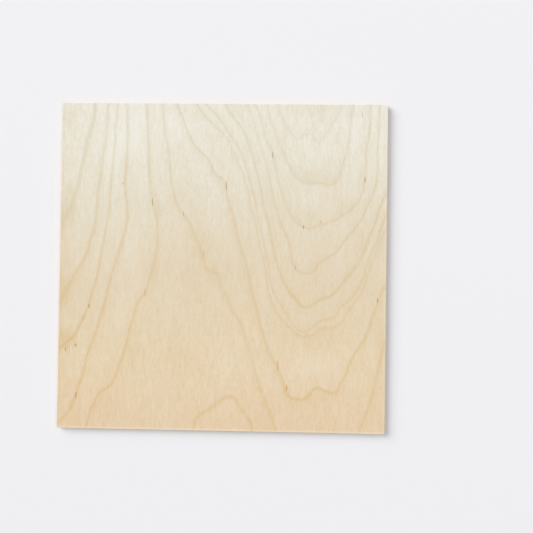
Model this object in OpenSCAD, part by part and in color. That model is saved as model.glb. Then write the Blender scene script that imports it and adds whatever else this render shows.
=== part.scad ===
// Square sheet of birch plywood, cut to the size that is sold for crafts, models and small panels.
// It lies flat: X runs across the grain of the face, Y along it and Z through the thickness.
// The origin is at the middle of the underside.

/* [Sheet] */
// Width across the grain of the face (mm)
sheet_width = 304.8; // [100:0.1:1220]
// Length along the grain of the face (mm)
sheet_length = 304.8; // [100:0.1:2440]

/* [Lay-up] */
// Veneers pressed into the sheet, an odd number so that both faces run the same way
ply_count = 5; // [3:2:13]
// Thickness of one veneer after pressing and sanding (mm)
ply_thickness = 1.2; // [1:0.1:1.5]

/* [Edges] */
// Round-over that sanding leaves along the edges of both faces (mm)
arris_radius = 0.5; // [0.1:0.1:1.2]
// Round-over at the four corners, seen from above (mm)
corner_radius = 0.8; // [0.2:0.1:10]

/* [Hidden] */

// Sides of a full circle
$fn = 64;
// Thickness of the finished sheet
sheet_thickness = ply_count * ply_thickness;
// How far a section runs past the outline that trims it
trim = 1;

// Rectangle with round corners, centred on the origin.
module rounded_rectangle(size, radius) {
    square([size.x - 2 * radius, size.y], center = true);
    square([size.x, size.y - 2 * radius], center = true);
    for (x = [-1, 1], y = [-1, 1])
        translate([x * (size.x / 2 - radius), y * (size.y / 2 - radius)])
            circle(r = radius);
}

// The sawn outline, as tall as the sheet is thick.
module sawn_outline() {
    linear_extrude(sheet_thickness)
        rounded_rectangle([sheet_width, sheet_length], corner_radius);
}

// The sheet's cross-section with eased arrises, run along Y and centred on the origin.
module eased_section(across, along) {
    rotate([90, 0, 0])
        linear_extrude(along + 2 * trim, center = true)
            rounded_rectangle([across, sheet_thickness], arris_radius);
}

// One solid: the sawn outline, trimmed by the eased section across the grain and along it.
module plywood_sheet() {
    color("#E5D3B3")
        intersection() {
            sawn_outline();
            translate([0, 0, sheet_thickness / 2])
                eased_section(sheet_width, sheet_length);
            translate([0, 0, sheet_thickness / 2])
                rotate([0, 0, 90])
                    eased_section(sheet_length, sheet_width);
        }
}

plywood_sheet();
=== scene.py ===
import math

import bpy
import numpy as np
from mathutils import Euler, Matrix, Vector


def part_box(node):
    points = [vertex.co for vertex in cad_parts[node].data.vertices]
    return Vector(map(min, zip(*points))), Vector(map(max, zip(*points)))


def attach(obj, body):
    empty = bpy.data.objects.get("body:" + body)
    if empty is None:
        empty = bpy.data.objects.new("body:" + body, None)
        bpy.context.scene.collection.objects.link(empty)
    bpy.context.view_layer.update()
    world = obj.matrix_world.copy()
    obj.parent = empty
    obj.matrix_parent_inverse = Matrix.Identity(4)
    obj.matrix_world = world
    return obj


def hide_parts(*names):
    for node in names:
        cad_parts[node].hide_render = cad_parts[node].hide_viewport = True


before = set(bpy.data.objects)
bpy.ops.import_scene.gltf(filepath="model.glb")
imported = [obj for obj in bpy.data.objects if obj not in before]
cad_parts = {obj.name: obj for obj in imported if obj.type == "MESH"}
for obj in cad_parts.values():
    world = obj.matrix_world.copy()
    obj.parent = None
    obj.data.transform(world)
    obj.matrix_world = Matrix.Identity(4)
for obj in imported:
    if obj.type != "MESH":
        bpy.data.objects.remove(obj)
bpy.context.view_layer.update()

# Viewpoint. The sheet lies flat and is seen from nearly straight above, through a normal lens that stands
# over its right half, so its four sawn edges stay out of sight. All lengths in this file are in millimetres.
image_side = 533
lens = 50
sensor = 36
camera_place = np.array([62.6, -11.8, 693.4])
camera_degrees = (1.069, 1.754, 0.799)
camera_turn = Euler([math.radians(angle) for angle in camera_degrees])
metre = 1000

viewpoint = bpy.data.objects.new("viewpoint", bpy.data.cameras.new("viewpoint"))
viewpoint.data.lens = lens
viewpoint.data.sensor_width = sensor
viewpoint.location = camera_place / metre
viewpoint.rotation_euler = camera_turn
bpy.context.collection.objects.link(viewpoint)
bpy.context.scene.camera = viewpoint

# Sheet blank. Five rotary-cut birch veneers, laid with the grain crossed, are hot-pressed into one board,
# sawn to a square and sanded. Sanding eases the edges of both faces and the four corners, and the saw leaves
# a fine groove at each glue line.
sheet_low, sheet_high = (np.array(corner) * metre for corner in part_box("plywood_sheet"))
half_sheet = (sheet_high - sheet_low)[:2] / 2
sheet_middle = (sheet_high + sheet_low)[:2] / 2
top = sheet_high[2]
thickness = sheet_high[2] - sheet_low[2]
ply_count = 5
ply = thickness / ply_count
arris = 0.5
corner_radius = 0.8
corner_hub = half_sheet - corner_radius
glue_groove = 0.05
glue_groove_width = 0.16
face_cells = 176
corner_steps = 3
arris_steps = 5

# Places in the board's list of materials.
show_finish, back_finish, sawn_finish = range(3)


def stations(half):
    """Grid lines from -half to half: even steps as far as the corner's centre, then a few close ones."""
    centre = half + arris - corner_radius
    even = np.linspace(0, centre, face_cells // 2 + 1)
    close = np.linspace(centre, half, corner_steps + 1)
    side = np.concatenate([even, close[1:]])
    return np.concatenate([-side[:0:-1], side])


def face_plan():
    """Plan of one flat face. It is a grid of X and Y stations whose corner cells are pulled from a square
    onto a quarter disc: a point's offset from the corner's centre is scaled by its larger side over its
    length."""
    least_length = 1e-9
    flat = half_sheet - arris
    grid = np.stack(np.meshgrid(stations(flat[0]), stations(flat[1])), axis=-1)
    hub = np.clip(grid, -corner_hub, corner_hub)
    offset = grid - hub
    length = np.linalg.norm(offset, axis=-1, keepdims=True)
    scale = np.abs(offset).max(axis=-1, keepdims=True) / np.maximum(length, least_length)
    return hub + offset * scale


def edge_profile():
    """Section of the edge from the upper face to the lower one, as reach from the corner's centre and
    height. A quarter round leads into the upright edge, which dips into a shallow V at each glue line, and
    the lower quarter round mirrors the upper one."""
    angle = np.linspace(0, math.pi / 2, arris_steps + 1)
    round_reach = corner_radius - arris + arris * np.sin(angle)
    round_height = thickness - arris + arris * np.cos(angle)
    lip = glue_groove_width / 2
    glue_lines = ply * np.arange(ply_count - 1, 0, -1)
    groove_height = (glue_lines[:, None] + np.array([lip, 0, -lip])).ravel()
    groove_reach = corner_radius - np.tile([0, glue_groove, 0], ply_count - 1)
    reach = np.concatenate([round_reach, groove_reach, round_reach[::-1]])
    height = np.concatenate([round_height, groove_height, thickness - round_height[::-1]])
    return reach, height


def sheet_mesh():
    """The closed board, with its face plan and the plan's border. The plan gives the upper and lower faces,
    and the edge profile is carried round the border: each border point moves out from its corner's centre by
    the profile's reach."""
    plan = face_plan()
    rows, columns = plan.shape[:2]
    index = np.arange(rows * columns).reshape(rows, columns)
    border = np.concatenate([index[0, :-1], index[:-1, -1], index[-1, :0:-1], index[:0:-1, 0]])
    flat_plan = plan.reshape(-1, 2)
    hub = np.clip(flat_plan[border], -corner_hub, corner_hub)
    outward = (flat_plan[border] - hub) / (corner_radius - arris)
    reach, height = edge_profile()
    rim_plan = hub + outward * reach[1:-1, None, None]
    rim_height = np.broadcast_to(height[1:-1, None, None], rim_plan.shape[:2] + (1,))
    rim = np.concatenate([rim_plan, rim_height], axis=-1).reshape(-1, 3)
    upper = np.column_stack([flat_plan, np.full(len(flat_plan), thickness)])
    lower = np.column_stack([flat_plan, np.zeros(len(flat_plan))])
    points = np.concatenate([upper, lower, rim])
    points[:, :2] += sheet_middle
    points[:, 2] += sheet_low[2]

    lower_index = index + len(flat_plan)
    rim_index = 2 * len(flat_plan) + np.arange(len(rim)).reshape(-1, len(border))
    loops = np.vstack([border, rim_index, lower_index.ravel()[border]])
    after = np.roll(loops, -1, axis=1)
    edge = np.stack([loops[:-1], loops[1:], after[1:], after[:-1]], axis=-1).reshape(-1, 4)
    cells = np.stack([index[:-1, :-1], index[:-1, 1:], index[1:, 1:], index[1:, :-1]], axis=-1)
    cells = cells.reshape(-1, 4)
    faces = np.concatenate([cells, cells[:, ::-1] + len(flat_plan), edge])
    arris_faces = arris_steps * len(border)
    finishes = {
        "upper face": (show_finish, len(cells)),
        "lower face": (back_finish, len(cells)),
        "upper arris": (show_finish, arris_faces),
        "upright edge and lower arris": (sawn_finish, len(edge) - arris_faces),
    }
    finish = np.concatenate([np.full(count, slot) for slot, count in finishes.values()])
    mesh = bpy.data.meshes.new("plywood_board")
    mesh.from_pydata((points / metre).tolist(), [], faces.tolist())
    mesh.polygons.foreach_set("material_index", finish)
    mesh.polygons.foreach_set("use_smooth", np.ones(len(faces), bool))
    return mesh, plan + sheet_middle, border


board_mesh, plan, border = sheet_mesh()
board = bpy.data.objects.new("plywood_board", board_mesh)
bpy.context.collection.objects.link(board)
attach(board, "root")
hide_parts("plywood_sheet")

# Figure of the show face. The veneer was peeled round the log, so the year rings meet the face at a low
# angle and draw tall arches. A growth line is the edge of one ring, and it pales and darkens along its way.
line_step = 2.5
overrun = 8
block_count = 60

# Each line is its ring's number, how dark it is at even steps along it, how wide it is, how strong its
# soft shade is, which falls towards higher numbers or, below nought, towards lower ones, and points along
# it, given in pixels of the photograph.
growth_lines = {
    "left outer": (1, (1.17, 0.85), 1.3, 0.3, [
        (94.4, 104), (94.6, 113), (91.2, 128), (87, 141), (84.8, 154), (82, 166), (78, 183),
        (73.2, 199), (68.4, 210), (65, 217), (62, 229)]),
    "left second": (2, (0.62, 0.9, 0.9), 1.25, 1, [
        (108.4, 105), (107.2, 120), (105.2, 142), (102, 158), (100.4, 176), (98, 190), (96.5, 210),
        (94.3, 227), (90, 240), (85.6, 255.3), (78.5, 267), (71, 280.5), (64.5, 292.5), (60, 301)]),
    "left third": (3, (0.7, 0.96, 1.2, 1.7), 1, 0.3, [
        (117.6, 105), (116, 128), (114.4, 149), (112, 170), (110, 196), (109, 210), (105.4, 230),
        (100, 260), (95.8, 280), (91.2, 295), (86.6, 310), (78.9, 325.6), (70.8, 338.5), (64, 344),
        (59, 348.5)]),
    "left fourth": (4, (0.62, 1.13, 1.04, 1, 0.97), 1.1, 0.6, [
        (127, 105), (127.4, 122), (127.2, 144), (125.6, 170), (125.4, 192), (127.2, 210), (126, 225),
        (120.8, 245), (115.2, 263), (109.8, 280), (105.6, 298), (99, 320), (92.8, 340), (87.5, 353),
        (84, 368), (78.4, 385), (73, 400.7), (65.8, 414), (58, 421.5)]),
    "left inner": (5, (0.92, 0.98), 0.9, 0.6, [
        (146.8, 105), (148.4, 140), (149.4, 172), (152.6, 200), (156, 215), (157.2, 230), (156.2, 250),
        (153.6, 265), (148.4, 281), (144.2, 293.8), (138.5, 301.2), (133.8, 315.3), (129.2, 330),
        (126, 344), (122, 357), (118, 367), (114.4, 378.4), (108, 386.8), (99.2, 393), (94, 403),
        (89.2, 414.4), (85.5, 427)]),
    "crown": (6, (0.82, 0.82), 1.35, 0.5, [
        (193.5, 428), (194.8, 421.6), (200, 414.4), (209.6, 409.2), (218.4, 402), (228, 396.8),
        (233.6, 397.6), (238.4, 404.8), (244.8, 414.4), (250, 423), (252, 429)]),
    "right inner": (5, (0.72, 0.6, 0.72, 0.6, 0.48, 0.78), 1.1, 1, [
        (163.4, 105), (166, 134), (168.8, 149), (170.8, 172), (173.5, 191), (178, 204.5),
        (183.7, 214.2), (189.6, 222), (194, 232.7), (199, 246), (203.5, 258), (206.4, 268),
        (217.6, 274), (220.6, 286), (227, 297), (231.6, 309), (240.4, 322), (245.6, 337), (250.4, 352),
        (254.5, 369), (259.2, 385), (264.8, 401), (270.8, 415), (275.5, 430)]),
    "right inner, far arm": (5, (0.8, 0.8), 1.1, 0.5, [
        (359.4, 429.6), (364.8, 416), (370, 402.4), (373.4, 389), (377, 374.8), (380.4, 360),
        (382.4, 350)]),
    "widest arch": (4, (0.95, 0.8, 0.95, 0.84, 0.87, 0.98, 0.92, 0.82), 0.95, 0.8, [
        (177.6, 105), (183.3, 118.8), (190.8, 138), (196.8, 148), (207, 157), (212, 167), (215, 174),
        (223.2, 180), (226, 188), (229.2, 202), (233.5, 216), (236.8, 231.6), (240.8, 247.6),
        (246.4, 263.6), (249.4, 277), (252, 291), (256.4, 307), (260.4, 323), (264.4, 339),
        (271.2, 356), (278, 369), (283.2, 381.6), (288, 395), (295.2, 398.4), (300.4, 399),
        (308.8, 394.8), (315.2, 388), (324.8, 390.4), (334.8, 392.4), (340, 383), (345.6, 373.6),
        (349.6, 363), (357.6, 348.8), (364.8, 337.6), (371.2, 319.6), (376, 308), (380, 295.6),
        (384.3, 286)]),
    "paired arch, outer": (3, (0.95, 0.62, 0.62, 0.86, 0.64, 0.72, 0.82), 0.8, 0.8, [
        (198.4, 105), (204.8, 115), (216, 126.4), (227.2, 139), (234.4, 153.6), (239.6, 165),
        (245.6, 181), (248.8, 194), (252, 209), (256.4, 224.4), (259.6, 242), (264, 260.4),
        (267.2, 275), (268.7, 291), (273.4, 304), (280.5, 316.7), (291, 327.6), (299.2, 335.2),
        (308, 335.6), (316.8, 332.4), (324, 327.6), (332, 328), (339.2, 324.4), (345.6, 314),
        (352, 306), (359.2, 294.8), (366, 279), (370.5, 265), (377, 248), (384.5, 231)]),
    "paired arch, inner": (2, (0.95, 0.9, 0.82, 0.7, 1.03, 1.12), 0.75, -0.3, [
        (206.8, 105), (216.8, 116), (227.2, 130.4), (236.8, 145.6), (244, 161.6), (249.6, 181),
        (254.4, 201), (258.4, 220.4), (262.4, 239.6), (267.6, 262), (270, 280), (273.4, 291.4),
        (281.2, 305.8), (288, 317), (297, 329), (303, 332), (311.5, 328.2), (320.7, 321),
        (333.6, 317.6), (341.2, 307.3), (348.5, 301), (357.6, 290), (364.8, 274), (370.8, 254.8),
        (376.8, 242), (381.2, 230), (385.5, 218)]),
    "fourth arch": (1, (0.76, 0.8, 0.97, 1.1, 1.02, 1.08), 1, -0.6, [
        (225.6, 105), (231.2, 115), (242, 129), (248.8, 145), (254.4, 163), (259.6, 184), (263.6, 206),
        (268, 222.8), (271, 238), (275.6, 258), (280.3, 273.3), (286.4, 286.8), (292, 295.6),
        (299.6, 303.6), (303.4, 307.6), (310.4, 306), (319.2, 300.4), (328, 297.6), (336, 291.6),
        (345.6, 279.6), (356, 266.8), (363.8, 252.7), (369.6, 238), (376, 221), (382, 203),
        (386, 195)]),
    "third arch": (0, (0.5, 0.58, 0.93, 1, 0.97, 0.7), 0.8, -0.5, [
        (247.6, 105), (252, 117.6), (258.4, 139), (265.2, 161), (270.4, 183), (275.2, 204),
        (281.2, 224.4), (287.6, 239), (291, 253), (293.2, 264.4), (300, 272), (306.8, 273.6),
        (314.4, 270.4), (319, 264), (329.2, 257), (335.6, 252.8), (342.4, 243.6), (352.8, 230.8),
        (360.8, 220.4), (367.4, 206.7), (373.3, 193.8), (377.7, 174), (378, 152), (379, 132),
        (380.4, 105)]),
    "second arch": (-1, (0.7, 0.56, 0.74, 0.81, 0.72), 0.9, -1, [
        (255.2, 105), (260, 116), (264.7, 137), (272.8, 154), (277.2, 177), (283.6, 198), (290, 214),
        (297.2, 223.6), (303.3, 227.5), (309.7, 228.6), (319.2, 226), (330.7, 222.2), (342, 216),
        (352.8, 208), (360, 199), (364, 186), (366.2, 170), (366.6, 152), (369.6, 134), (371, 108)]),
    "first arch": (-2, (0.4, 0.68, 0.64), 1.05, -1, [
        (266, 105), (273.6, 129), (281.4, 150), (289.2, 165.6), (297.6, 178.4), (307.2, 183.2),
        (318.4, 182.8), (332, 184.4), (337.6, 179.8), (342.5, 164.8), (347.6, 148), (351, 122),
        (353.8, 105)]),
    "heart": (-3, (0.47, 0.47), 0.85, -1, [
        (278.4, 105), (282.4, 119.3), (288.8, 129.6), (294.6, 137), (298.2, 140.2), (301.4, 137.4),
        (305, 135.4), (311.4, 134.2), (314.2, 137.6), (316.2, 142), (318.4, 142.8), (321.2, 140),
        (326, 135.8), (329.8, 129.3), (334, 122.6), (338.2, 115.5), (341.6, 105)]),
}

# Points in the plain wood between lines, set in the same way, with the ring number that each group holds.
plain_wood = {
    0.6: [(70, 108), (68, 140), (66, 170), (62, 195)],
    2.5: [(222, 126.5), (247, 183), (261, 241), (271, 292), (300, 332.5), (336, 322), (362, 285),
          (374, 251)],
    3.5: [(212, 140), (236, 195), (247, 238), (258, 285), (271, 325), (300, 366), (340, 352),
          (365, 307), (378, 271), (392, 245)],
    4.5: [(320, 415), (268, 380), (368, 365), (392, 310)],
    5.4: [(155, 98), (157, 130), (160, 170), (165, 215), (172, 260), (180, 310), (160, 360),
          (130, 415)],
    5.6: [(180, 405), (215, 382), (245, 390)],
    6.4: [(222, 418), (223, 434)],
    -3.4: [(310, 96), (310, 112)],
}
plain_darkness = 0.7
plain_width = 1
plain_shade = 0


def on_face(pixels):
    """Where rays through these pixels meet the face. A ray leaves the lens along (across, up, minus the
    focal length), is turned with the camera, and is stretched until it has dropped to the face."""
    pixels = np.array(pixels, float)
    middle = image_side / 2
    focal = lens / sensor * image_side
    rays = np.column_stack([pixels[:, 0] - middle, middle - pixels[:, 1], np.full(len(pixels), -focal)])
    rays = rays @ np.array(camera_turn.to_matrix()).T
    drop = (top - camera_place[2]) / rays[:, 2]
    return camera_place[:2] + rays[:, :2] * drop[:, None]


def along(points):
    """A smooth curve through the points and a little past both ends, with a point every line_step. Each
    stretch eases from the straight line that leaves its first point to the one that reaches its second."""
    past = points[[0, -1]] - points[[1, -2]]
    past *= overrun / np.linalg.norm(past, axis=1, keepdims=True)
    points = np.concatenate([points[:1] + past[:1], points, points[-1:] + past[1:]])
    run = np.concatenate([[0], np.cumsum(np.linalg.norm(np.diff(points, axis=0), axis=1))])
    slope = np.gradient(points, run, axis=0)
    wanted = np.linspace(0, run[-1], round(run[-1] / line_step))
    start = np.clip(np.searchsorted(run, wanted, "right") - 1, 0, len(run) - 2)
    end = start + 1
    gone = (wanted - run[start])[:, None]
    left = (run[end] - wanted)[:, None]
    part = gone / (gone + left)
    ease = part * part * (3 - 2 * part)
    leaving = points[start] + slope[start] * gone
    reaching = points[end] - slope[end] * left
    return leaving * (1 - ease) + reaching * ease


def spread(places, values, wanted):
    """Fields that pass through values at places: a constant plus a cone, of height r, round each place, with
    the cones' weights solved so that every value is met. Between two lines such a field climbs evenly. The
    wanted points are taken a block at a time, to spare memory."""
    def cones(points):
        return np.linalg.norm(points[:, None, :] - places[None, :, :], axis=-1)

    ones = np.ones((len(places), 1))
    system = np.block([[cones(places), ones], [ones.T, np.zeros((1, 1))]])
    weights = np.linalg.solve(system, np.vstack([values, np.zeros((1, values.shape[1]))]))
    blocks = [cones(block) @ weights[:-1] + weights[-1] for block in np.array_split(wanted, block_count)]
    return np.concatenate(blocks)


places = []
looks = []
for number, darks, wide, shade, pixels in growth_lines.values():
    route = along(on_face(pixels))
    step = np.linspace(0, len(darks) - 1, len(route))
    dark = np.interp(step, range(len(darks)), darks)
    places.append(route)
    looks.append(np.column_stack(np.broadcast_arrays(number, dark, wide, shade)))
for number, pixels in plain_wood.items():
    places.append(on_face(pixels))
    looks.append(np.tile([number, plain_darkness, plain_width, plain_shade], (len(pixels), 1)))
figure = spread(np.concatenate(places), np.concatenate(looks), plan.reshape(-1, 2))
ring, darkness, width, shade_side = figure.T.reshape(-1, *plan.shape[:2])

# Tone of the show face. Sapwood isn't one colour: it is warmer in some places and paler in others. A pale
# strip along the near border, and a fainter one along the right, is a painted highlight, and a darker,
# warmer strip along the left border is painted shade.
border_width = 1.2
right_share = 0.3
left_shade = 1.1

# Each patch is its middle and half its width and height, in pixels of the photograph, and how warm it is,
# with pale below nought.
patches = [
    (68, 114, 10, 15, 1), (69, 208, 9, 18, 1.6), (64, 292, 8, 15, 1.5), (66, 338, 8, 9, 2.2),
    (91, 142, 5, 16, 0.4), (157, 206, 6, 10, 1.1), (179, 200, 6, 12, 0.7), (198, 255, 9, 30, 0.5),
    (211, 243, 6, 10, 1), (213, 271, 6, 9, 1.2), (154, 268, 5, 18, 0.6), (134, 350, 14, 26, 0.6),
    (176, 358, 14, 15, 0.7), (104, 402, 10, 24, 0.4), (312, 401, 28, 10, 0.4), (313, 339, 28, 10, 0.9),
    (247, 243, 9, 24, 0.6), (304, 217, 13, 8, 1), (348, 206, 14, 9, 0.9), (364, 238, 16, 14, 0.9),
    (303, 178, 8, 16, 1), (322, 177, 16, 7, 0.5), (320, 108, 26, 8, 1), (238, 108, 12, 10, 0.7),
    (133, 136, 16, 26, -1.4), (112, 163, 10, 28, -1.2), (172, 128, 12, 16, -1), (350, 132, 9, 18, -1),
    (379, 140, 9, 34, -0.9), (98, 268, 10, 24, -0.7), (131, 265, 13, 45, -0.9), (118, 318, 8, 18, -0.8),
    (267, 282, 6, 18, -1.3), (167, 305, 9, 17, -0.3), (228, 365, 14, 22, -0.5),
    (314, 367, 27, 15, -0.9), (355, 378, 9, 12, -0.4), (315, 150, 12, 12, -0.3),
    (310, 200, 17, 11, -0.3), (192, 168, 9, 14, -0.2), (61, 350, 8, 90, 0.4), (138, 208, 8, 8, 0.6),
    (196, 112, 15, 7, 0.6), (123, 244, 6, 11, 0.7), (381, 345, 6, 26, 0.7), (271, 386, 7, 9, -0.8),
    (377, 164, 8, 13, -0.6),
]
warmth_and_shade = np.zeros(plan.shape[:2])
for middle_x, middle_y, half_width, half_height, warm in patches:
    middle, corner = on_face([(middle_x, middle_y), (middle_x + half_width, middle_y - half_height)])
    warmth_and_shade += warm * np.exp(-(((plan - middle) / (corner - middle)) ** 2).sum(-1))
# Painted highlight: a pale strip along the near border and a fainter one along the right. Painted shade: a
# darker, warmer strip along the left border.
on_left, on_near = np.exp(-((plan - sheet_low[:2]) / border_width) ** 2).transpose(2, 0, 1)
on_right = np.exp(-((plan[..., 0] - sheet_high[0]) / border_width) ** 2)
sanded_and_highlit = np.maximum(on_near, right_share * on_right)
warmth_and_shade += left_shade * on_left

# Figure of the back. The underside wears a plainer veneer of the same log, drawn by a formula, because no
# view shows the real one. Its rings are ellipses round a point past the near edge, swayed by slow waves.
# They crowd and darken by turns, and the wood is warmer in broad patches.
arch_middle = (30, -330)
arch_width = 26
arch_height = 95
rings_per_arch = 1.3
back_line_darkness = 0.7


def wave(place, height, length, start=0):
    """A sine wave of this height that starts at this angle and turns by one radian in each length."""
    return height * np.sin(place / length + start)


x, y = plan[..., 0], plan[..., 1]
aside = x - arch_middle[0] + wave(y, height=14, length=62) + wave(y, height=5, length=23, start=1)
ahead = y - arch_middle[1] + wave(x, height=15, length=17) + wave(x, height=6, length=7.5, start=2)
arch = np.hypot(aside / arch_width, ahead / arch_height)
back_ring = rings_per_arch * arch + wave(arch, height=0.3, length=1 / 2.1)
back_darkness = back_line_darkness + wave(arch, height=0.25, length=1 / 2.9)
back_warmth = wave(x, height=0.6, length=37, start=1) * wave(y, height=1, length=58, start=math.pi / 2)


def rings_per_mm(number):
    """How fast the ring number changes over the plan: the length of its gradient, never quite nought."""
    least = 0.012
    across = np.gradient(number, plan[0, :, 0], axis=1)
    lengthwise = np.gradient(number, plan[:, 0, 1], axis=0)
    return np.maximum(np.hypot(across, lengthwise), least)


# Every trait of the wood is one number at each point: on the show face, on the back, and round the rim,
# whose upper rows follow the show face and whose lower rows follow the back.
traits = {
    "ring": (ring, back_ring),
    "ring_pace": (rings_per_mm(ring), rings_per_mm(back_ring)),
    "line_depth": (darkness, back_darkness),
    "line_width": (width, np.ones_like(ring)),
    "shade_side": (shade_side, np.ones_like(ring)),
    # On the show face this trait also holds the painted shade along the left border.
    "warmth_and_shade": (warmth_and_shade, back_warmth),
    "sanded_and_highlit": (sanded_and_highlit, sanded_and_highlit),
}
rim_rows = (len(board_mesh.vertices) - 2 * ring.size) // len(border)
upper_rows = rim_rows // 2
for trait, (on_show, on_back) in traits.items():
    upper_rim = np.tile(on_show.ravel()[border], upper_rows)
    lower_rim = np.tile(on_back.ravel()[border], rim_rows - upper_rows)
    everywhere = np.concatenate([on_show.ravel(), on_back.ravel(), upper_rim, lower_rim])
    attribute = board_mesh.attributes.new(trait, "FLOAT", "POINT")
    attribute.data.foreach_set("value", everywhere.astype(np.float32))

# Veneer. Sanded, unfinished birch: cream sapwood with a dull sheen, thin tan lines where each year's growth
# ended, fine fibres along the length and a few brown flecks where an insect mined the living tree. Its pores
# are drawn about five times too coarse, because the real ones are too fine to show.
# The colours run from warm to pale, and their spread along the sheet is painted light.
sapwood = {
    0: "#E1C39C", 0.15: "#E7D1B4", 0.3: "#E8D7BA", 0.5: "#E4D5BB", 0.69: "#E8E2D0", 0.9: "#EFECE1",
    1: "#F4F3EC",
}
latewood = {0.22: "#D6B576", 0.45: "#D8BA89", 0.66: "#D6C199", 0.85: "#D0C8A7"}
fibre_tan = ("#D6AE66", "#D4CAAE")
# Colours of the painted highlight along the border, at the near end and the far end.
highlight_colours = ("#FAE4C4", "#FBF8EF")

# Where the near and far ends of the sheet fall on the scale of those colours, and how far the mottle shifts
# a place along it. The climb from warm at the near end to pale at the far end is painted light.
near_end = 0.15
far_end = 0.9
mottle_shift = 0.05

# Size of each pattern across the grain and along it, and the span that most of its noise falls in.
grain = {"mottle": (26, 70), "streak": (2.5, 10), "pore": (0.8, 3), "wander": (0.7, 9), "wear": (9, 30)}
first_seed = 0.5
noise_span = (0.3, 0.7)
pore_span = (0.25, 0.6)
streak_strength = 0.28
pore_strength = 0.33
warmth_strength = 0.2
line_reach = 2.4
line_strength = 0.45
line_wander = 0.75
line_wear = (0.88, 1.12)
shade_reach = 8
shade_strength = 0.2
highlight_strength = 0.7
sheen = (0.62, 0.74)

# Each fleck is its place across and its upper and lower ends, in pixels of the photograph, and its width.
# It reaches a little past its ends, and fades between two shares of its own size.
flecks = {
    "#AE8850": [
        (123.2, 182, 184, 0.9), (152.6, 197.6, 207, 1.1), (183.4, 211, 217, 0.75),
        (226.4, 180.5, 191, 1.15), (272.8, 151, 159, 1.3), (365, 177, 183, 1.5),
        (362.4, 112, 118, 0.55), (303.6, 225, 229, 1.5), (320.9, 220, 224, 0.75),
        (203.6, 250, 259, 0.5), (145, 288, 297, 0.7), (89, 303.5, 308, 1.65), (82.8, 314, 320, 0.5),
        (65.4, 346, 352, 1.35), (75.4, 343.4, 346.4, 2.2), (75.8, 391.5, 398.5, 1.25),
        (377.6, 298, 303.5, 1.3), (295.5, 266, 269.5, 0.75), (67.4, 344, 350, 0.3),
        (69.3, 344, 348.5, 0.3), (72.6, 344.5, 349, 0.3)],
    "#CC8440": [
        (277.8, 360, 371, 1.3), (286.5, 384, 392, 1.6)],
}
fleck_tip = 0.4
fleck_fade = (0.5, 1.1)
fleck_strength = 0.7
far_from_flecks = 9.0

# Sockets of a Mix node that blends two colours, and the output that holds the blend.
share, under, over = 0, 6, 7
blend = 2


def linear(hex_colour):
    """Linear red, green, blue and alpha of an sRGB hex colour."""
    srgb = np.array([int(hex_colour[k:k + 2], 16) for k in (1, 3, 5)]) / 255
    light = np.where(srgb <= 0.04045, srgb / 12.92, ((srgb + 0.055) / 1.055) ** 2.4)
    return (*light, 1.0)


def add(tree, kind, sockets=(), out=0, **settings):
    """Adds one node and gives back one of its outputs. sockets fills its inputs, in order or by name, each
    with a value or another node's output, and settings are its own properties."""
    node = tree.nodes.new("ShaderNode" + kind)
    for name, value in settings.items():
        setattr(node, name, value)
    for socket, value in sockets.items() if isinstance(sockets, dict) else enumerate(sockets):
        if isinstance(value, bpy.types.NodeSocket):
            tree.links.new(value, node.inputs[socket])
        else:
            node.inputs[socket].default_value = value
    return node.outputs[out]


def grain_layers(tree, place):
    """Noise drawn out along the grain, a layer for each pattern, with a seed of its own."""
    layers = {}
    for order, (pattern, (across, lengthwise)) in enumerate(grain.items()):
        size = (metre / across, metre / lengthwise, metre / lengthwise)
        spot = add(tree, "Mapping", {"Vector": place, "Scale": size})
        noise = {"Vector": spot, "W": order + first_seed, "Scale": 1, "Detail": 2, "Roughness": 0.6}
        layers[pattern] = add(tree, "TexNoise", noise, noise_dimensions="4D")
    return layers


def wood_colours(tree, place, layers):
    """Colours of the wood at a place along the sheet, shifted by the mottle: two that pass through many
    stops and two that run straight from a near colour to a far one. Their change along the sheet is painted
    light, warmer at the near end and paler at the far end."""
    lengthwise = add(tree, "SeparateXYZ", (place,), out="Y")
    reach = half_sheet[1] / metre
    painted_light_and_mottle = add(tree, "MapRange", (lengthwise, -reach, reach, near_end, far_end), clamp=False)
    mottle = add(tree, "MapRange", (layers["mottle"], *noise_span, -mottle_shift, mottle_shift))
    painted_light_and_mottle = add(tree, "Math", (painted_light_and_mottle, mottle), operation="ADD")
    colours = {}
    for wood, stops in (("sapwood", sapwood), ("latewood", latewood)):
        colours[wood] = add(tree, "ValToRGB", (painted_light_and_mottle,))
        elements = colours[wood].node.color_ramp.elements
        for position in list(stops)[1:-1]:
            elements.new(position)
        for element, (position, colour) in zip(elements, stops.items()):
            element.position = position
            element.color = linear(colour)
    for wood, (near, far) in (("fibre", fibre_tan), ("highlight", highlight_colours)):
        ends = {share: painted_light_and_mottle, under: linear(near), over: linear(far)}
        colours[wood] = add(tree, "Mix", ends, out=blend, data_type="RGBA")
    return colours


def fibre_share(tree, trait, layers):
    """How much of the fibres' tan a place shows: streaks plus pores, and more where the wood is warm."""
    streak = add(tree, "MapRange", (layers["streak"], *noise_span, 0, streak_strength))
    pore = add(tree, "MapRange", (layers["pore"], *pore_span, pore_strength, 0))
    fibre = add(tree, "Math", (streak, pore), operation="ADD")
    return add(tree, "Math", (trait["warmth_and_shade"], warmth_strength, fibre), operation="MULTIPLY_ADD")


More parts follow.
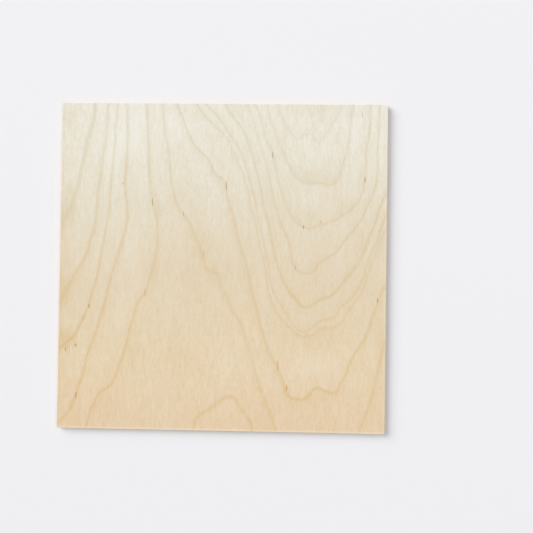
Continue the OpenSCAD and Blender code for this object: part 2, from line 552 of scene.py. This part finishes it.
def line_share(tree, trait, layers):
    """How much of the latewood a place shows. Its distance from the nearest growth line is the ring number's
    remainder over the pace of the rings. It falls off smoothly to both sides in a thin line, and again in a
    wide soft shade on one side, and both are scaled by the line's darkness."""
    nearest = add(tree, "Math", (trait["ring"],), operation="ROUND")
    remainder = add(tree, "Math", (trait["ring"], nearest), operation="SUBTRACT")
    aside = add(tree, "Math", (remainder, trait["ring_pace"]), operation="DIVIDE")
    wander = add(tree, "MapRange", (layers["wander"], *noise_span, -line_wander, line_wander))
    aside = add(tree, "Math", (aside, wander), operation="ADD")
    away = add(tree, "Math", (aside,), operation="ABSOLUTE")
    line = add(tree, "Math", (away, trait["line_width"]), operation="DIVIDE")
    line_fall = (line, 0, line_reach, line_strength, 0)
    line = add(tree, "MapRange", line_fall, interpolation_type="SMOOTHSTEP")
    toward = add(tree, "Math", (aside,), operation="SIGN")
    toward = add(tree, "Math", (toward, trait["shade_side"]), operation="MULTIPLY", use_clamp=True)
    shade_fall = (away, 0, shade_reach, shade_strength, 0)
    shade = add(tree, "MapRange", shade_fall, interpolation_type="SMOOTHSTEP")
    dark = add(tree, "Math", (toward, shade, line), operation="MULTIPLY_ADD")
    wear = add(tree, "MapRange", (layers["wear"], *noise_span, *line_wear))
    depth = add(tree, "Math", (trait["line_depth"], wear), operation="MULTIPLY")
    return add(tree, "Math", (dark, depth), operation="MULTIPLY")


def fleck_share(tree, place, marks):
    """How much of a fleck's brown a place shows. Each fleck is an ellipsoid, the distance from its middle is
    counted in its own half sizes, and the nearest fleck holds."""
    nearest = far_from_flecks
    for across, upper, lower, fleck_width in marks:
        ends = on_face([(across, upper), (across, lower)])
        middle = np.array([*ends.mean(axis=0), top])
        half = np.array([fleck_width / 2, (ends[0, 1] - ends[1, 1]) / 2 + fleck_tip, ply])
        spot = add(tree, "Mapping", {"Vector": place, "Scale": metre / half, "Location": -middle / half})
        apart = add(tree, "VectorMath", (spot,), out="Value", operation="LENGTH")
        nearest = add(tree, "Math", (apart, nearest), operation="MINIMUM")
    fall = (nearest, *fleck_fade, fleck_strength, 0)
    return add(tree, "MapRange", fall, interpolation_type="SMOOTHSTEP")


def veneer(name, fleck_groups):
    """Material of one face. Tan fibres lie over the cream sapwood, then the growth lines, the flecks and the
    painted highlight along the border, each by its own share."""
    material = bpy.data.materials.new(name)
    material.use_nodes = True
    tree = material.node_tree
    shader = tree.nodes["Principled BSDF"]
    place = add(tree, "TexCoord", out="Object")
    trait = {key: add(tree, "Attribute", out="Fac", attribute_name=key) for key in traits}
    layers = grain_layers(tree, place)
    colours = wood_colours(tree, place, layers)
    coats = [(fibre_share(tree, trait, layers), colours["fibre"])]
    coats.append((line_share(tree, trait, layers), colours["latewood"]))
    for colour, marks in fleck_groups.items():
        coats.append((fleck_share(tree, place, marks), linear(colour)))
    # Painted highlight along the near and right borders.
    highlight = add(tree, "Math", (trait["sanded_and_highlit"], highlight_strength), operation="MULTIPLY")
    coats.append((highlight, colours["highlight"]))
    tone = colours["sapwood"]
    for amount, colour in coats:
        tone = add(tree, "Mix", {share: amount, under: tone, over: colour}, out=blend, data_type="RGBA")
    tree.links.new(tone, shader.inputs["Base Color"])
    shader.inputs["IOR"].default_value = 1.5
    gloss = add(tree, "MapRange", (layers["streak"], *noise_span, *sheen))
    tree.links.new(gloss, shader.inputs["Roughness"])
    relief = add(tree, "Bump", {"Height": layers["pore"], "Strength": 0.25, "Distance": 0.03 / metre})
    tree.links.new(relief, shader.inputs["Normal"])
    return material


# Sawn edge. The saw shows the lay-up: where a veneer's grain runs along the edge it is pale and streaked,
# where it runs into the edge its cut ends look darker and speckled, and a thin glue line parts each from the
# next.
long_grain = ("#EBDABA", "#CDAE7E")
end_grain = ("#D0AE7C", "#A17A4B")
saw_mark = "#B8925E"
glue_brown = "#8C6840"
saw_strength = 0.18
glue_strength = 0.7

# Size of each pattern along the edge and up it, how far the slow drift shifts a tone, and the two distances
# from a glue line, in plies, between which it fades.
edge_grain = {"long": (14, 0.3), "end": (0.5, 0.7), "saw": (0.9, 25), "drift": (32, 1.6)}
drift_shift = 0.45
glue_fade = (0.02, 0.12)


def sawn_edge():
    """Material of the four edges. The second and fourth plies have the grain across the sheet, so they show
    end grain on the left and right edges, and the other three show it on the near and far edges."""
    material = bpy.data.materials.new("sawn birch plywood edge")
    material.use_nodes = True
    tree = material.node_tree
    shader = tree.nodes["Principled BSDF"]
    place = add(tree, "TexCoord", out="Object")
    axis = add(tree, "SeparateXYZ", (place,)).node.outputs
    layers = {}
    for pattern, (along_edge, tall) in edge_grain.items():
        size = (metre / along_edge, metre / along_edge, metre / tall)
        spot = add(tree, "Mapping", {"Vector": place, "Scale": size})
        layers[pattern] = add(tree, "TexNoise", {"Vector": spot, "Scale": 1, "Detail": 3})

    level = add(tree, "Math", (axis["Z"], metre / ply), operation="MULTIPLY")
    storey = add(tree, "Math", (level,), operation="FLOOR")
    cross_ply = add(tree, "Math", (storey, 2), operation="MODULO")
    from_side = add(tree, "Math", (axis["X"],), operation="ABSOLUTE")
    from_end = add(tree, "Math", (axis["Y"],), operation="ABSOLUTE")
    side_edge = add(tree, "Math", (from_side, from_end), operation="GREATER_THAN")
    differs = add(tree, "Math", (cross_ply, side_edge), operation="SUBTRACT")
    runs_along = add(tree, "Math", (differs,), operation="ABSOLUTE")

    drift = add(tree, "MapRange", (layers["drift"], *noise_span, -drift_shift, drift_shift))
    tones = {}
    for pattern, (pale, deep) in (("long", long_grain), ("end", end_grain)):
        depth = add(tree, "MapRange", (layers[pattern], *noise_span, 0, 1))
        depth = add(tree, "Math", (depth, drift), operation="ADD", use_clamp=True)
        ends = {share: depth, under: linear(pale), over: linear(deep)}
        tones[pattern] = add(tree, "Mix", ends, out=blend, data_type="RGBA")
    scored = add(tree, "MapRange", (layers["saw"], *noise_span, 0, saw_strength))
    joint = add(tree, "Math", (level,), operation="ROUND")
    from_glue = add(tree, "Math", (level, joint), operation="SUBTRACT")
    from_glue = add(tree, "Math", (from_glue,), operation="ABSOLUTE")
    glue = add(tree, "MapRange", (from_glue, *glue_fade, glue_strength, 0))
    coats = [(runs_along, tones["long"]), (scored, linear(saw_mark)), (glue, linear(glue_brown))]
    tone = tones["end"]
    for amount, colour in coats:
        tone = add(tree, "Mix", {share: amount, under: tone, over: colour}, out=blend, data_type="RGBA")
    tree.links.new(tone, shader.inputs["Base Color"])
    shader.inputs["Roughness"].default_value = 0.7
    relief = add(tree, "Bump", {"Height": layers["saw"], "Strength": 0.3, "Distance": 0.05 / metre})
    tree.links.new(relief, shader.inputs["Normal"])
    return material


show_veneer = veneer("sanded birch veneer, face", flecks)
back_veneer = veneer("sanded birch veneer, back", {})
for material in (show_veneer, back_veneer, sawn_edge()):
    board_mesh.materials.append(material)

# Floor. Matt white paper lies under the sheet and runs far past it. Near the sheet it takes the light and
# the shadow, and further off it fades, where it is looked at, into the even white of the surround.
paper_white = linear("#F0F0F2")
floor_half = 4000
floor_gap = 0.2
fade_start = 500
fade_end = 1500


def looked_at(tree):
    """1 for a ray that looks at a thing, straight or by way of gloss or glass, and 0 for one that brings
    light."""
    path = add(tree, "LightPath").node.outputs
    seen = add(tree, "Math", (path["Is Camera Ray"], path["Is Glossy Ray"]), operation="MAXIMUM")
    return add(tree, "Math", (seen, path["Is Transmission Ray"]), operation="MAXIMUM")


def white_paper():
    """Material of the floor: rough white, blended with a plain white glow by distance from the sheet."""
    material = bpy.data.materials.new("matt white paper")
    material.use_nodes = True
    tree = material.node_tree
    shader = tree.nodes["Principled BSDF"]
    shader.inputs["Base Color"].default_value = paper_white
    shader.inputs["Roughness"].default_value = 0.9
    place = add(tree, "TexCoord", out="Object")
    apart = add(tree, "VectorMath", (place,), out="Value", operation="LENGTH")
    fade = (apart, fade_start / metre, fade_end / metre, 0, 1)
    far = add(tree, "MapRange", fade, interpolation_type="SMOOTHSTEP")
    far = add(tree, "Math", (far, looked_at(tree)), operation="MULTIPLY")
    glow = add(tree, "Emission", {"Color": paper_white})
    blended = add(tree, "MixShader", (far, shader.outputs[0], glow))
    tree.links.new(blended, tree.nodes["Material Output"].inputs["Surface"])
    return material


floor_mesh = bpy.data.meshes.new("floor")
floor_corners = np.array([(-1, -1, 0), (1, -1, 0), (1, 1, 0), (-1, 1, 0)]) * floor_half - (0, 0, floor_gap)
floor_mesh.from_pydata((floor_corners / metre).tolist(), [], [(0, 1, 2, 3)])
floor_mesh.materials.append(white_paper())
floor = bpy.data.objects.new("floor", floor_mesh)
bpy.context.collection.objects.link(floor)

# Light. A large soft lamp from the far left leaves a narrow shadow along the near and right edges. A small
# one high on the right lifts that side, and an even white surround fills in.
surround_light = 0.4
surround_seen = 1


def lamp(name, place, side, watts):
    """A square soft box at place, facing the middle of the sheet."""
    spot = Vector([length / metre for length in place])
    light = bpy.data.lights.new(name, "AREA")
    light.size = side / metre
    light.energy = watts
    box = bpy.data.objects.new(name, light)
    box.location = spot
    box.rotation_euler = (-spot).to_track_quat("-Z", "Y").to_euler()
    bpy.context.collection.objects.link(box)


lamp("key", place=(-7900, 5200, 7400), side=9000, watts=1220)
lamp("overhead", place=(1300, 0, 3200), side=1500, watts=27.5)

surround = bpy.data.worlds.new("surround")
surround.use_nodes = True
bpy.context.scene.world = surround
backdrop = surround.node_tree.nodes["Background"]
backdrop.inputs["Color"].default_value = paper_white
levels = {"Value": looked_at(surround.node_tree), "To Min": surround_light, "To Max": surround_seen}
strength = add(surround.node_tree, "MapRange", levels)
surround.node_tree.links.new(strength, backdrop.inputs["Strength"])

bpy.context.scene.view_settings.view_transform = "Standard"
